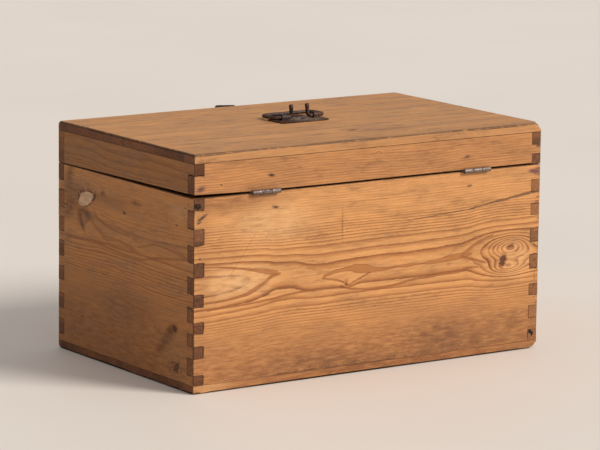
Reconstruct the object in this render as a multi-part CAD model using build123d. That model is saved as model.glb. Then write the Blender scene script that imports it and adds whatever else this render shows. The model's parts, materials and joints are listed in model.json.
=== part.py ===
from build123d import *
import os

# Pine box chest with a hinged lid, drop handle and hasp. Millimetres.
# Frame: +Z up, +Y towards the hinge side (back), -Y towards the hasp side (front).
# The origin is the centre of the underside.

# ---- Driving dimensions ----
length = 600.0
depth = 365.0
height = 335.0
wall = 16.0
top_board = 13.0
bottom_board = 12.0
body_top = 274.0
back_gap = 2.6          # lid stands off the body by this much at the hinges
front_gap = 0.4         # and nearly touches it in front
lid_seam_from_front = 177.0
bottom_seam_from_front = 190.0

# Finger heights from the bottom board up, cut by hand. They belong to the end panel
# and to the long panel in turn, the end panel first.
fingers_back_right = (14, 24, 17, 18, 16, 21, 18, 24, 20, 24, 23, 26, 17)
fingers_back_left = (16, 18, 19, 15, 17, 23, 21, 19, 19, 21, 17, 17, 18, 22)
fingers_front_right = (11, 23, 15, 22, 20, 21, 14, 23, 14, 21, 15, 25, 14, 24)
fingers_front_left = (13, 21, 17, 20, 18, 22, 16, 21, 16, 22, 16, 23, 15, 22)

# The lid's rim has finger joints at the back only, from the body's top up.
rim_fingers_back_right = (30, 18)   # long board first
rim_fingers_back_left = (16, 14, 18)

hinge_right_x = 184.0
hinge_left_x = -181.0
hinge_width = 47.0
hinge_radius = 3.5
hinge_pin_radius = 2.1
leaf_thick = 1.2
leaf_flange = 36.0
leaf_nail_from_seam = 21.5
leaf_nail_spread = 13.0
running_gap = 0.06      # radial clearance of a turning fit
knuckle_gap = 0.4       # between neighbouring knuckles
barrel_stand_off = 0.2  # between a hinge barrel and the wood

handle_x = -10.0
handle_y = -18.0
plate_width = 84.0
plate_depth = 41.0
plate_lobe_width = 56.0
plate_lobe_reach = 19.0   # the lobe that lies under the handle's grip
plate_thick = 1.6
plate_shift_x = 5.0     # the plate isn't centred under the handle
plate_shift_y = 5.0
plate_hole_radius = 5.0
plate_hole_x = -2.0     # from the handle's middle
plate_hole_y = 2.0
bail_bar_radius = 3.0
bail_lift = 0.5         # the bar lies just clear of the plate
bail_width = 88.0
bail_reach = 35.0
bail_bend = 10.0
lug_spacing = 28.0
lug_height = 18.0
lug_bend = 4.5
eye_spacing = 56.0
eye_width = 11.0
eye_thick = 1.7
eye_foot = 10.0

hasp_x = 8.0
hasp_width = 37.0
hasp_thick = 1.5
hasp_axis_z = 281.0
hasp_reach = 55.0
hasp_knuckle_radius = 3.4
hasp_pin_radius = 1.8
hasp_leaf_height = 40.0
hasp_leaf_nail_low = 12.0
hasp_leaf_nail_high = 32.0
hasp_leaf_nail_spread = 12.0
hasp_tip_radius = 4.0
hasp_stand_off = 0.2    # arm's back face to the front panel when it hangs down
slot_width = 7.0
slot_from_axis = 27.0
slot_length = 23.0
staple_wire_radius = 2.0
staple_from_axis = 39.0
staple_leg_spacing = 14.0
staple_flat = 1.0       # straight part across the staple's front
staple_stand_out = 12.5
staple_driven = 13.0

nail_shank_radius = 1.2
nail_head_radius = 3.0
nail_head_thick = 1.0
tip_stand_out = 0.7     # a nail that comes through the wood
tip_cover = 1.0         # wood beyond the tip of a nail that doesn't
pin_stand_out = 0.3     # a hinge pin beyond each end of its barrel
wire_nail_radius = 1.1
wire_head_radius = 2.0
wire_head_thick = 0.8
wire_nail_length = 34.0
edge_nails_from_end = 30.0
end_nails_from_side = 70.0
corner_nail_length = 26.0
corner_nail_inset = 7.0
corner_nail_low = 94.0
corner_nail_high = 264.0

# ---- Worked out ----
half_length = length / 2
back = depth / 2
front = -back
inner_x = half_length - wall
inner_back = back - wall
inner_front = front + wall
rim_top = height - top_board
back_rim_bottom = body_top + back_gap
front_rim_bottom = body_top + front_gap
lid_seam_y = front + lid_seam_from_front
bottom_seam_y = front + bottom_seam_from_front
hinge_y = back + hinge_radius + barrel_stand_off
hinge_z = body_top + back_gap / 2
hasp_axis_y = front - hasp_knuckle_radius - barrel_stand_off
handle_z = height + plate_thick + bail_bar_radius + bail_lift


# ---- Small shared shapes ----
def block(x, y, z):
    """A box from three (low, high) pairs."""
    centre = ((x[0] + x[1]) / 2, (y[0] + y[1]) / 2, (z[0] + z[1]) / 2)
    return Pos(*centre) * Box(x[1] - x[0], y[1] - y[0], z[1] - z[0])


def bar_along_x(x, y, z, radius, bar_length):
    return Pos(x, y, z) * Rot(0, 90, 0) * Cylinder(radius, bar_length)


def nail(tip_direction, head_radius, head_thick, shank_radius, shank_length):
    """A nail whose head's outer face is at the origin and whose shank runs along tip_direction."""
    plane = Plane(origin=(0, 0, 0), z_dir=tip_direction)
    head = extrude(plane * Circle(head_radius), head_thick)
    shank = extrude(plane * Circle(shank_radius), shank_length)
    return head + shank


def without(board, cutters):
    for cutter in cutters:
        board -= cutter
    return board


def save(name, *solids):
    shape = solids[0] if len(solids) == 1 else Compound(children=[s for s in solids])
    export_step(shape, f"parts/{name}.step")


# ---- Finger joints ----
def corner_fingers(x_side, y_side, start_z, finger_heights, end_first=True):
    """Splits a corner post into finger cells: (the end board's cells, the long board's cells)."""
    x = sorted((x_side * half_length, x_side * inner_x))
    y = sorted((y_side * back, y_side * inner_back))
    cells = ([], [])
    low = start_z
    owner = 0 if end_first else 1
    for finger in finger_heights:
        cells[owner].append(block(x, y, (low, low + finger)))
        low += finger
        owner = 1 - owner
    return cells


corner_back_right = corner_fingers(1, 1, bottom_board, fingers_back_right)
corner_back_left = corner_fingers(-1, 1, bottom_board, fingers_back_left)
corner_front_right = corner_fingers(1, -1, bottom_board, fingers_front_right)
corner_front_left = corner_fingers(-1, -1, bottom_board, fingers_front_left)

# The rim's corners start at the body's top, below every rim board's lower edge.
lid_corner_height = rim_top - body_top
rim_back_right = corner_fingers(1, 1, body_top, rim_fingers_back_right, end_first=False)
rim_back_left = corner_fingers(-1, 1, body_top, rim_fingers_back_left)
rim_front_right = corner_fingers(1, -1, body_top, (lid_corner_height,), end_first=False)
rim_front_left = corner_fingers(-1, -1, body_top, (lid_corner_height,), end_first=False)


# ---- Hinges ----
def knuckles(centre_x, width, y, z, radius, outer):
    """Either the two outer knuckles or the one in the middle, out of three equal ones."""
    pitch = width / 3
    places = (-pitch, pitch) if outer else (0.0,)
    return [bar_along_x(centre_x + place, y, z, radius, pitch - knuckle_gap) for place in places]


def hinge_leaf(centre_x, upper):
    """A leaf that crosses the board's edge from the barrel and turns along its inner face."""
    side = 1 if upper else -1
    edge_face = hinge_z + side * back_gap / 2
    near_face = edge_face - side * leaf_thick
    flange_end = near_face + side * leaf_flange
    x = (centre_x - hinge_width / 2, centre_x + hinge_width / 2)
    strip = block(x, (inner_back - leaf_thick, hinge_y), sorted((edge_face, near_face)))
    flange = block(x, (inner_back - leaf_thick, inner_back), sorted((near_face, flange_end)))
    leaf = strip + flange
    pitch = hinge_width / 3
    for place in (-pitch, 0.0, pitch):
        own = (place == 0.0) == upper
        if not own:
            clear = pitch / 2 + knuckle_gap / 2
            leaf -= block(
                (centre_x + place - clear, centre_x + place + clear),
                (back - barrel_stand_off, hinge_y + hinge_radius),
                (hinge_z - back_gap, hinge_z + back_gap),
            )
    for knuckle in knuckles(centre_x, hinge_width, hinge_y, hinge_z, hinge_radius, not upper):
        leaf += knuckle
    bore = hinge_pin_radius + (running_gap if upper else 0.0)
    return leaf - bar_along_x(centre_x, hinge_y, hinge_z, bore, hinge_width)


def hinge_nails(upper):
    """Two nails a leaf, driven out from inside; one of them comes through the board."""
    side = 1 if upper else -1
    z = hinge_z + side * leaf_nail_from_seam
    head_face = inner_back - leaf_thick - nail_head_thick
    through = back + tip_stand_out - head_face
    nails = []
    for centre_x, through_place in ((hinge_right_x, -1), (hinge_left_x, 1)):
        for place in (-1, 1):
            reach = through if place == through_place else wall - tip_cover
            shape = nail((0, 1, 0), nail_head_radius, nail_head_thick, nail_shank_radius, reach)
            nails.append(Pos(centre_x + leaf_nail_spread * place, head_face, z) * shape)
    return nails


lower_nails = hinge_nails(upper=False)
upper_nails = hinge_nails(upper=True)


# ---- Hasp ----
def hasp_leaf():
    """Fixed plate on the lid's front rim, with the outer two knuckles at its lower edge."""
    x = (hasp_x - hasp_width / 2, hasp_x + hasp_width / 2)
    plate = block(x, (front - hasp_thick, front), (hasp_axis_z, hasp_axis_z + hasp_leaf_height))
    clear = hasp_width / 6 + knuckle_gap / 2
    plate -= block(
        (hasp_x - clear, hasp_x + clear),
        (front - hasp_thick, front),
        (hasp_axis_z, hasp_axis_z + hasp_knuckle_radius + knuckle_gap),
    )
    for knuckle in knuckles(hasp_x, hasp_width, hasp_axis_y, hasp_axis_z, hasp_knuckle_radius, True):
        plate += knuckle
    return plate - bar_along_x(hasp_x, hasp_axis_y, hasp_axis_z, hasp_pin_radius, hasp_width)


def hasp_arm():
    """Slotted arm, folded up in front of its leaf, with the middle knuckle."""
    face = hasp_axis_y - hasp_knuckle_radius + hasp_stand_off
    arm_plane = Plane(origin=(hasp_x, face, hasp_axis_z), x_dir=(1, 0, 0), z_dir=(0, -1, 0))
    outline = Pos(0, hasp_reach / 2) * Rectangle(hasp_width, hasp_reach)
    tip = outline.vertices().group_by(Axis.Y)[-1]
    outline = fillet(tip, hasp_tip_radius)
    slot_middle = slot_from_axis + slot_length / 2
    outline -= Pos(0, slot_middle) * Rectangle(slot_width, slot_length)
    for side in (-1, 1):
        clear_middle = side * hasp_width / 3
        clear = hasp_width / 3 + knuckle_gap
        root = hasp_knuckle_radius + knuckle_gap
        outline -= Pos(clear_middle, root / 2) * Rectangle(clear, root)
    arm = extrude(arm_plane * outline, -hasp_thick)
    for knuckle in knuckles(hasp_x, hasp_width, hasp_axis_y, hasp_axis_z, hasp_knuckle_radius, False):
        arm += knuckle
    bore = hasp_pin_radius + running_gap
    return arm - bar_along_x(hasp_x, hasp_axis_y, hasp_axis_z, bore, hasp_width)


def hasp_leaf_nails():
    nails = []
    head_face = front - hasp_thick - nail_head_thick
    shape = nail((0, 1, 0), nail_head_radius, nail_head_thick, nail_shank_radius, wall - tip_cover)
    for x_side in (-1, 1):
        for rise in (hasp_leaf_nail_low, hasp_leaf_nail_high):
            place = (hasp_x + hasp_leaf_nail_spread * x_side, head_face, hasp_axis_z + rise)
            nails.append(Pos(*place) * shape)
    return nails


def hasp_staple():
    """Round wire bent to a U that stands out through the arm's slot when the arm hangs down."""
    bend = staple_leg_spacing / 2
    middle_z = hasp_axis_z - staple_from_axis
    driven, out = front + staple_driven, front - staple_stand_out
    top, low = middle_z + bend, middle_z - bend
    points = [(hasp_x, driven, top), (hasp_x, out, top), (hasp_x, out, low), (hasp_x, driven, low)]
    path = FilletPolyline(*points, radius=bend - staple_flat / 2)
    section = Plane(origin=points[0], z_dir=(0, -1, 0)) * Circle(staple_wire_radius)
    return sweep(section, path=path)


leaf_nails = hasp_leaf_nails()
staple = hasp_staple()


# ---- Drop handle ----
def handle_bail():
    """Round bar: from one stop lug through an eye, round the grip and back to the other lug."""
    lug = lug_spacing / 2
    wide = bail_width / 2
    corners = [(lug, 0, lug_height), (lug, 0, 0), (wide, 0, 0), (wide, -bail_reach, 0)]
    mirrored = [(-x, y, z) for x, y, z in reversed(corners)]
    path = FilletPolyline(
        *(corners + mirrored),
        radius=[lug_bend, bail_bend, bail_bend, bail_bend, bail_bend, lug_bend],
    )
    section = Plane(origin=corners[0], z_dir=(0, 0, -1)) * Circle(bail_bar_radius)
    return Pos(handle_x, handle_y, handle_z) * sweep(section, path=path)


def handle_eye(side):
    """Strap over the bar whose legs go through the plate and the lid and turn out below."""
    inner = bail_bar_radius + running_gap
    outer = inner + eye_thick
    lid_under = rim_top - handle_z
    ring = Circle(outer) - Circle(inner)
    arch = ring & (Pos(0, outer / 2) * Rectangle(2 * outer, outer))
    for y_side in (-1, 1):
        leg_middle = y_side * (inner + outer) / 2
        arch += Pos(leg_middle, (lid_under - eye_thick) / 2) * Rectangle(eye_thick, eye_thick - lid_under)
        foot_middle = y_side * (inner + eye_foot / 2)
        arch += Pos(foot_middle, lid_under - eye_thick / 2) * Rectangle(eye_foot, eye_thick)
    plane = Plane(
        origin=(handle_x + side * eye_spacing / 2, handle_y, handle_z), x_dir=(0, 1, 0), z_dir=(1, 0, 0)
    )
    return extrude(plane * arch, eye_width / 2, both=True)


def handle_plate(eyes):
    centre = (handle_x + plate_shift_x, handle_y + plate_shift_y, height)
    outline = RectangleRounded(plate_width, plate_depth, 2.5)
    lobe_depth = plate_depth + plate_lobe_reach
    outline += Pos(0, -plate_lobe_reach / 2) * RectangleRounded(plate_lobe_width, lobe_depth, 2.5)
    outline -= Pos(plate_hole_x - plate_shift_x, plate_hole_y - plate_shift_y) * Circle(plate_hole_radius)
    return without(Pos(*centre) * extrude(outline, plate_thick), eyes)


eye_right = handle_eye(1)
eye_left = handle_eye(-1)


# ---- Wire nails in the wood ----
def spread(low, high, count):
    step = (high - low) / (count - 1)
    return [low + step * index for index in range(count)]


def nails_round_edge(z, tip_direction, long_count, end_count):
    """Nails through a top or bottom board into all four walls below or above it."""
    middle = wall / 2
    places = []
    for y in (front + middle, back - middle):
        reach = half_length - edge_nails_from_end
        places += [(x, y) for x in spread(-reach, reach, long_count)]
    for x in (-half_length + middle, half_length - middle):
        reach = back - end_nails_from_side
        places += [(x, y) for y in spread(-reach, reach, end_count)]
    shape = nail(tip_direction, wire_head_radius, wire_head_thick, wire_nail_radius, wire_nail_length)
    return [Pos(x, y, z) * shape for x, y in places]


def nails_in_corners():
    """Two nails pin each corner's fingers, one in its top finger."""
    nails = []
    shape = nail((0, -1, 0), wire_head_radius, wire_head_thick, wire_nail_radius, corner_nail_length)
    for x_side in (-1, 1):
        x = x_side * (half_length - corner_nail_inset)
        for z in (corner_nail_low, corner_nail_high):
            nails.append(Pos(x, back, z) * shape)
            nails.append(Pos(x, front, z) * Rot(0, 0, 180) * shape)
    return nails


bottom_nails = nails_round_edge(0.0, (0, 0, 1), long_count=6, end_count=3)
lid_nails = nails_round_edge(height, (0, 0, -1), long_count=6, end_count=3)
corner_nails = nails_in_corners()


# ---- Body boards ----
def back_panel():
    board = block((-half_length, half_length), (inner_back, back), (bottom_board, body_top))
    cells = corner_back_right[0] + corner_back_left[0]
    return without(board, cells + lower_nails + bottom_nails + corner_nails)


def front_panel():
    board = block((-half_length, half_length), (front, inner_front), (bottom_board, body_top))
    cells = corner_front_right[0] + corner_front_left[0]
    return without(board, cells + bottom_nails + corner_nails + [staple])


def end_panel(x_side, back_corner, front_corner):
    x = sorted((x_side * half_length, x_side * inner_x))
    board = block(x, (front, back), (bottom_board, body_top))
    return without(board, back_corner[1] + front_corner[1] + bottom_nails + corner_nails)


def bottom(y):
    return without(block((-half_length, half_length), y, (0.0, bottom_board)), bottom_nails)


# ---- Lid boards ----
def lid_top(y):
    board = block((-half_length, half_length), y, (rim_top, height))
    return without(board, lid_nails + [eye_right, eye_left])


def back_rim():
    board = block((-half_length, half_length), (inner_back, back), (back_rim_bottom, rim_top))
    return without(board, rim_back_right[0] + rim_back_left[0] + upper_nails + lid_nails)


def front_rim():
    board = block((-half_length, half_length), (front, inner_front), (front_rim_bottom, rim_top))
    return without(board, rim_front_right[0] + rim_front_left[0] + leaf_nails + lid_nails)


def end_rim(x_side, back_corner, front_corner):
    """Its lower edge runs down from the hinge leaves' gap at the back to the front's near touch."""
    outline = make_face(
        Polyline(
            (front, front_rim_bottom), (back, back_rim_bottom), (back, rim_top), (front, rim_top), close=True
        )
    )
    middle_x = x_side * (half_length - wall / 2)
    plane = Plane(origin=(middle_x, 0, 0), x_dir=(0, 1, 0), z_dir=(1, 0, 0))
    board = extrude(plane * outline, wall / 2, both=True)
    return without(board, back_corner[1] + front_corner[1] + lid_nails)


# ---- Write every piece ----
os.makedirs("parts", exist_ok=True)

save("back_panel", back_panel())
save("front_panel", front_panel())
save("right_end_panel", end_panel(1, corner_back_right, corner_front_right))
save("left_end_panel", end_panel(-1, corner_back_left, corner_front_left))
save("bottom_board_rear", bottom((bottom_seam_y, back)))
save("bottom_board_front", bottom((front, bottom_seam_y)))
save("bottom_nails", *bottom_nails)
save("corner_nails", *corner_nails)

save("lid_board_rear", lid_top((lid_seam_y, back)))
save("lid_board_front", lid_top((front, lid_seam_y)))
save("lid_back_rim", back_rim())
save("lid_front_rim", front_rim())
save("lid_right_rim", end_rim(1, rim_back_right, rim_front_right))
save("lid_left_rim", end_rim(-1, rim_back_left, rim_front_left))
save("lid_nails", *lid_nails)

for side_name, hinge_x in (("right", hinge_right_x), ("left", hinge_left_x)):
    save(f"hinge_lower_leaf_{side_name}", without(hinge_leaf(hinge_x, upper=False), lower_nails))
    save(f"hinge_upper_leaf_{side_name}", without(hinge_leaf(hinge_x, upper=True), upper_nails))
    pin_length = hinge_width + 2 * pin_stand_out
    save(f"hinge_pin_{side_name}", bar_along_x(hinge_x, hinge_y, hinge_z, hinge_pin_radius, pin_length))
save("hinge_lower_nails", *lower_nails)
save("hinge_upper_nails", *upper_nails)

save("handle_plate", handle_plate([eye_right, eye_left]))
save("handle_eye_right", eye_right)
save("handle_eye_left", eye_left)
save("handle_bail", handle_bail())

save("hasp_leaf", without(hasp_leaf(), leaf_nails))
save("hasp_leaf_nails", *leaf_nails)
pin_length = hasp_width + 2 * pin_stand_out
save("hasp_pin", bar_along_x(hasp_x, hasp_axis_y, hasp_axis_z, hasp_pin_radius, pin_length))
save("hasp_arm", hasp_arm())
save("hasp_staple", staple)
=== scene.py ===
import json
import math
import random
from functools import reduce

import bmesh
import bpy
from mathutils import Matrix, Vector, noise


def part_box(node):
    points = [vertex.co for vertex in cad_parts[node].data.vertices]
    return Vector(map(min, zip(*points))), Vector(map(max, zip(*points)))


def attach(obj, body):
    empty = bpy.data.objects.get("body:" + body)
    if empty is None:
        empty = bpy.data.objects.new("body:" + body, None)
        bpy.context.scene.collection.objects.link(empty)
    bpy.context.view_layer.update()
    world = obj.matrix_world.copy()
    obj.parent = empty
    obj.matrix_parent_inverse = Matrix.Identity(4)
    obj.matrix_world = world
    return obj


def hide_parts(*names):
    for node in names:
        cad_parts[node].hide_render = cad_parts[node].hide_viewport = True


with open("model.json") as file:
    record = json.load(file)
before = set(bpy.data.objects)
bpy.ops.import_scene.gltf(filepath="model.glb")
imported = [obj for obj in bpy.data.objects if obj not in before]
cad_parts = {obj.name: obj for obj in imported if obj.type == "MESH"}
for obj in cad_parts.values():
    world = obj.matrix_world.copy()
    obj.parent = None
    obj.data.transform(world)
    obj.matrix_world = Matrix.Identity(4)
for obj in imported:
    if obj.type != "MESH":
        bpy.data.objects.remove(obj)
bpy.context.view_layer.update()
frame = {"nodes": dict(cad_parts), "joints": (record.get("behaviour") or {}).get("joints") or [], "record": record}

# Looks of the pine chest, in metres and in the row frame: +Z up, +Y the hinge side.
MM = 0.001

# ---- Places, all read from the frame ----
_, (HALF_X, BACK, HEIGHT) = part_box("lid_board_rear")
(_, WALL_INNER, BOTTOM), (_, WALL_OUTER, SEAM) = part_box("back_panel")
FRONT = -BACK
WALL = WALL_OUTER - WALL_INNER
X, Y, Z = 0, 1, 2
JOINT_PLACE = {joint["name"]: Vector(joint["pos_m"]) for joint in frame["joints"]}
BODY_OF = {node: body for body, nodes in frame["record"]["behaviour"]["bodies"].items() for node in nodes}


# ---- Shader arithmetic ----
class Value:
    """A number inside a shader, with ordinary arithmetic."""

    def __init__(self, graph, socket):
        self.graph = graph
        self.socket = socket


def add_operator(name, operation, swapped=False):
    """Gives Value one of Python's operators."""
    def apply(value, other):
        first, second = (other, value) if swapped else (value, other)
        return value.graph.math(operation, first, second)

    setattr(Value, name, apply)


for operator, operation in (("add", "ADD"), ("sub", "SUBTRACT"), ("mul", "MULTIPLY")):
    add_operator(f"__{operator}__", operation)
    add_operator(f"__r{operator}__", operation, swapped=True)
add_operator("__truediv__", "DIVIDE")
add_operator("__pow__", "POWER")


class Graph:
    """One material's node tree, built by arithmetic on Values."""

    def __init__(self, name):
        self.material = bpy.data.materials.new(name)
        self.material.use_nodes = True
        self.tree = self.material.node_tree
        self.tree.nodes.clear()

    def node(self, kind, **settings):
        made = self.tree.nodes.new(kind)
        for key, value in settings.items():
            setattr(made, key, value)
        return made

    def feed(self, socket, value):
        if isinstance(value, Value):
            self.tree.links.new(value.socket, socket)
        elif isinstance(value, bpy.types.NodeSocket):
            self.tree.links.new(value, socket)
        elif isinstance(value, (tuple, list)) and len(value) == 3 and socket.type == "RGBA":
            socket.default_value = (*value, 1.0)
        else:
            socket.default_value = value

    def math(self, operation, *values):
        made = self.node("ShaderNodeMath", operation=operation)
        for socket, value in zip(made.inputs, values):
            self.feed(socket, value)
        return Value(self, made.outputs[0])

    def smooth(self, value, start, end):
        """0 before start, 1 after end, with a smooth step between them."""
        made = self.node("ShaderNodeMapRange", interpolation_type="SMOOTHSTEP")
        for key, item in (("Value", value), ("From Min", start), ("From Max", end)):
            self.feed(made.inputs[key], item)
        return Value(self, made.outputs[0])

    def least(self, a, b):
        return self.math("MINIMUM", a, b)

    def most(self, a, b):
        return self.math("MAXIMUM", a, b)

    def root(self, value):
        return self.math("SQRT", value)

    def size(self, value):
        return self.math("ABSOLUTE", value)

    def hump(self, square):
        """1 where square is 0, fading as a bell."""
        return self.math("EXPONENT", square * -1.0)

    def vector(self, x, y, z):
        made = self.node("ShaderNodeCombineXYZ")
        for socket, value in zip(made.inputs, (x, y, z)):
            self.feed(socket, value)
        return made.outputs[0]

    def noise(self, x, y, z, detail=2.0, roughness=0.5, distortion=0.0):
        """Soft noise from 0 to 1 whose grains are about one unit wide."""
        made = self.node("ShaderNodeTexNoise")
        self.feed(made.inputs["Vector"], self.vector(x, y, z))
        made.inputs["Scale"].default_value = 1.0
        made.inputs["Detail"].default_value = detail
        made.inputs["Roughness"].default_value = roughness
        made.inputs["Distortion"].default_value = distortion
        return Value(self, made.outputs[0])

    def cloud(self, x, y, z, detail=3.0, roughness=0.6, spread=0.20):
        """Noise stretched so that it reaches both 0 and 1."""
        soft = self.noise(x, y, z, detail=detail, roughness=roughness)
        return self.smooth(soft, 0.5 - spread, 0.5 + spread)

    def chance(self, value):
        """A different random number for every whole number."""
        made = self.node("ShaderNodeTexWhiteNoise", noise_dimensions="1D")
        self.feed(made.inputs["W"], value)
        return Value(self, made.outputs["Value"])

    def cells(self, x, y, z):
        """Distance to the nearest of scattered points, and that point's random number."""
        made = self.node("ShaderNodeTexVoronoi")
        self.feed(made.inputs["Vector"], self.vector(x, y, z))
        made.inputs["Scale"].default_value = 1.0
        split = self.node("ShaderNodeSeparateXYZ")
        self.tree.links.new(made.outputs["Color"], split.inputs[0])
        return Value(self, made.outputs["Distance"]), Value(self, split.outputs[0])

    def curve(self, value, points):
        """A smooth curve through (input, output) points."""
        low_in, high_in = points[0][0], points[-1][0]
        low_out = min(out for _, out in points)
        high_out = max(out for _, out in points) + 1e-6
        made = self.node("ShaderNodeFloatCurve")
        line = made.mapping.curves[0]
        wide, tall = high_in - low_in, high_out - low_out
        scaled = [((a - low_in) / wide, (b - low_out) / tall) for a, b in points]
        line.points[0].location = scaled[0]
        line.points[-1].location = scaled[-1]
        for place in scaled[1:-1]:
            line.points.new(*place)
        made.mapping.update()
        self.feed(made.inputs["Value"], (value - low_in) / wide)
        return Value(self, made.outputs[0]) * tall + low_out

    def mix(self, factor, a, b, blend="MIX"):
        made = self.node("ShaderNodeMix", data_type="RGBA", blend_type=blend)
        self.feed(made.inputs["Factor"], factor)
        self.feed(made.inputs[6], a)
        self.feed(made.inputs[7], b)
        return made.outputs[2]

    def shade(self, colour, value):
        """Colour times a number."""
        made = self.node("ShaderNodeVectorMath", operation="SCALE")
        self.feed(made.inputs[0], colour)
        self.feed(made.inputs["Scale"], value)
        return made.outputs[0]

    def shade_by(self, colour, tint):
        """Colour times a colour."""
        made = self.node("ShaderNodeVectorMath", operation="MULTIPLY")
        self.feed(made.inputs[0], colour)
        made.inputs[1].default_value = tint
        return made.outputs[0]

    def coordinates(self, kind):
        where = self.node("ShaderNodeTexCoord")
        split = self.node("ShaderNodeSeparateXYZ")
        self.tree.links.new(where.outputs[kind], split.inputs[0])
        return [Value(self, out) for out in split.outputs]

    def place(self):
        """The point in the piece's own frame, in millimetres, as (x, y, z)."""
        return [value * 1000.0 for value in self.coordinates("Object")]

    def facing(self):
        """The surface's direction in the piece's own frame, as (x, y, z)."""
        return self.coordinates("Normal")

    def attribute(self, name):
        made = self.node("ShaderNodeAttribute", attribute_name=name)
        return Value(self, made.outputs["Fac"])

    def finish(self, colour, roughness, height, bump_mm, metallic=0.0, specular=0.5):
        bump = self.node("ShaderNodeBump")
        bump.inputs["Strength"].default_value = 1.0
        bump.inputs["Distance"].default_value = bump_mm * MM
        self.feed(bump.inputs["Height"], height)
        skin = self.node("ShaderNodeBsdfPrincipled")
        self.feed(skin.inputs["Base Color"], colour)
        self.feed(skin.inputs["Roughness"], roughness)
        self.feed(skin.inputs["Metallic"], metallic)
        self.feed(skin.inputs["Specular IOR Level"], specular)
        self.tree.links.new(bump.outputs[0], skin.inputs["Normal"])
        out = self.node("ShaderNodeOutputMaterial")
        self.tree.links.new(skin.outputs[0], out.inputs[0])
        return self.material


# ---- Pine ----
EARLY_WOOD = (0.605, 0.286, 0.102)
LATE_WOOD = (0.330, 0.108, 0.026)
RING_LINE = (0.135, 0.042, 0.013)
BAND = (0.360, 0.120, 0.028)
END_GRAIN = (0.170, 0.068, 0.027)
KNOT = (0.100, 0.036, 0.016)
GRIME = (0.030, 0.016, 0.011)
CRACK = (0.060, 0.026, 0.018)
VOID = (0.006, 0.004, 0.003)
BRUISE = (0.150, 0.060, 0.058)
PALE = (0.760, 0.450, 0.215)
FILLER = (0.900, 0.610, 0.420)
DARK_PINE = (0.300, 0.118, 0.040)
SMOKE = (0.165, 0.070, 0.030)
RUST_STAIN = (0.055, 0.028, 0.024)
SEED_STEP = 17.3
FINGER_PITCH = 19.5
HALF_BOARD = 200.0

# What a board has unless it says otherwise: ring = ring width; beyond the radius bend the rings
# crowd together; wild = how much they wander; fade = how far they pale away from the heart.
PLAIN = {
    "side": 1, "ring": 8.5, "bend": 52.0, "crowd": 0.15, "wild": 1.0, "fade": 0.45, "contrast": 1.0,
    "early": EARLY_WOOD, "late": LATE_WOOD, "end": END_GRAIN, "tint": (1, 1, 1),
    "band_strength": 1.0, "soil": 0.34, "edge_dirt": 0.62,
}


def oval(u, v, mark):
    """Squared distance from a mark's middle, 1 on its outline.

    A mark starts with its middle, its half sizes (along, across) and its turn in degrees.
    """
    middle_u, middle_v, half_u, half_v = mark[:4]
    turn = math.radians(mark[4])
    du, dv = u - middle_u, v - middle_v
    along = du * math.cos(turn) + dv * math.sin(turn)
    across = dv * math.cos(turn) - du * math.sin(turn)
    return (along / half_u) ** 2.0 + (across / half_v) ** 2.0


def line_distance(g, u, v, start, end):
    """Distance from a straight mark, and how far along it the nearest point is, from 0 to 1."""
    du, dv = end[0] - start[0], end[1] - start[1]
    long = math.hypot(du, dv)
    share = (u - start[0]) * (du / long**2) + (v - start[1]) * (dv / long**2)
    share = g.least(g.most(share, 0.0), 1.0)
    off_u = u - start[0] - share * du
    off_v = v - start[1] - share * dv
    return g.root(off_u ** 2.0 + off_v ** 2.0), share


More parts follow.
